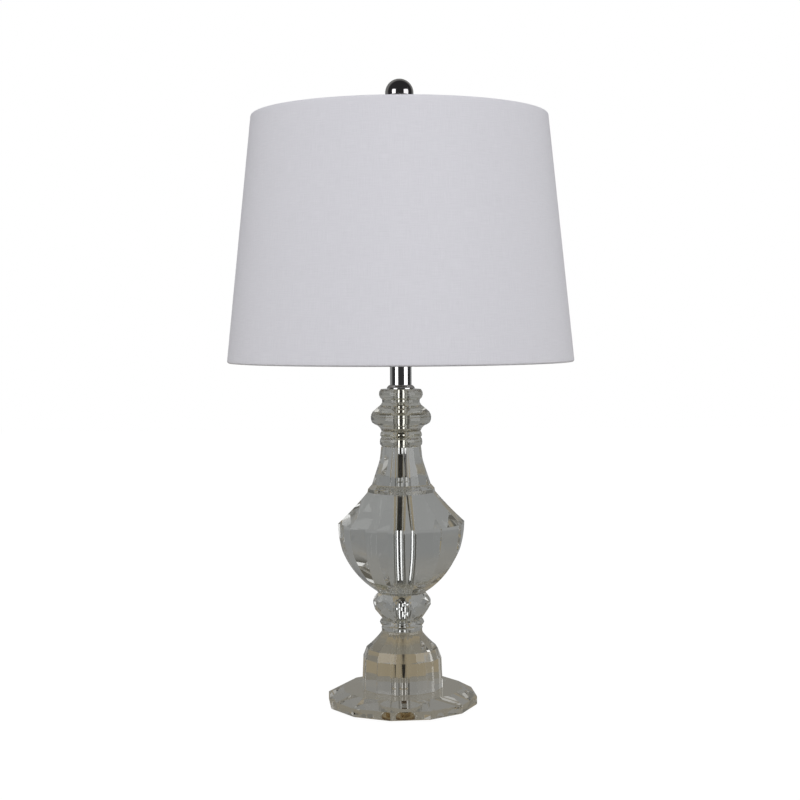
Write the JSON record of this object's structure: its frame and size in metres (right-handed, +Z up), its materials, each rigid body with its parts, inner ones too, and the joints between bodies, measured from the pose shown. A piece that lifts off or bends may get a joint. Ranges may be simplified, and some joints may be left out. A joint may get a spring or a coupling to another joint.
{
  "type": "table lamp",
  "caption": "Table lamp: faceted clear crystal urn on a stepped crystal stem and bevelled base, chrome neck, white linen tapered drum shade on a harp, ball finial.",
  "frame": {"origin": "centre of the lamp's rod at the underside of its feet", "axes": "+Z up along the rod; -Y towards the switch knob, the side seen in the picture"},
  "size_m": [0.3552, 0.3552, 0.6441],
  "materials": {
    "crystal": "clear, polished, cut facets",
    "clear_vinyl": "clear, soft gloss",
    "black_rubber": "matte",
    "zinc_steel": "bright zinc",
    "chrome": "polished",
    "dark_chrome": "polished, dark",
    "nickel": "polished nickel",
    "liner_card": "insulating card",
    "black_phenolic": "moulded, slightly glossy",
    "brass": "plain brass",
    "nylon": "moulded nylon",
    "frosted_glass": "frosted inside",
    "bulb_cap": "rolled, satin",
    "linen": "fine white linen weave",
    "shade_styrene": "white, translucent",
    "white_wire": "white enamel"
  },
  "bodies": {
    "lamp_body": {"base_plate": "crystal", "bell_crystal": "crystal", "ring_crystal": "crystal", "ball_crystal": "crystal", "urn_crystal": "crystal", "neck_crystal": "crystal", "collar_crystal": "crystal", "bead_crystal": "crystal", "disc_crystal": "crystal", "clear_washers": "clear_vinyl", "rubber_washer": "black_rubber", "steel_washer": "zinc_steel", "base_nut": "zinc_steel", "rod": "chrome", "cord_bushing": "nylon", "feet": "clear_vinyl", "neck_flange": "chrome", "neck_tube": "chrome", "tube_top_washer": "chrome", "harp_saddle": "nickel", "lock_nut": "zinc_steel", "harp": "nickel", "harp_stud": "nickel", "socket_cap": "nickel", "socket_shell": "nickel", "socket_liner": "liner_card", "socket_body": "black_phenolic", "screw_shell": "brass", "centre_contact": "brass"},
    "sleeve_left": {"harp_sleeve_left": "nickel"},
    "sleeve_right": {"harp_sleeve_right": "nickel"},
    "switch": {"switch_stem": "brass", "switch_knob": "black_phenolic"},
    "bulb": {"bulb_glass": "frosted_glass", "bulb_base": "bulb_cap", "bulb_contact": "brass"},
    "shade": {"shade_cover": "linen", "shade_lining": "shade_styrene", "shade_bottom_ring": "white_wire", "shade_spider": "white_wire"},
    "finial": {"finial": "dark_chrome", "finial_insert": "brass"}
  },
  "joints": [
    {"name": "sleeve_left_lift", "type": "slide", "parent": "lamp_body", "child": "sleeve_left", "axis": [0, 0, 1], "range_m": [0, 0.012]},
    {"name": "sleeve_right_lift", "type": "slide", "parent": "lamp_body", "child": "sleeve_right", "axis": [0, 0, 1], "range_m": [0, 0.012]},
    {"name": "switch_turn", "type": "hinge", "parent": "lamp_body", "child": "switch", "pos_m": [0, 0, 0.421], "axis": [0, 1, 0], "continuous": true},
    {"name": "bulb_turn", "type": "hinge", "parent": "lamp_body", "child": "bulb", "pos_m": [0, 0, 0.48], "axis": [0, 0, 1], "continuous": true},
    {"name": "shade_turn", "type": "hinge", "parent": "lamp_body", "child": "shade", "pos_m": [0, 0, 0.597], "axis": [0, 0, 1], "continuous": true},
    {"name": "finial_turn", "type": "hinge", "parent": "lamp_body", "child": "finial", "pos_m": [0, 0, 0.61], "axis": [0, 0, 1], "continuous": true}
  ]
}
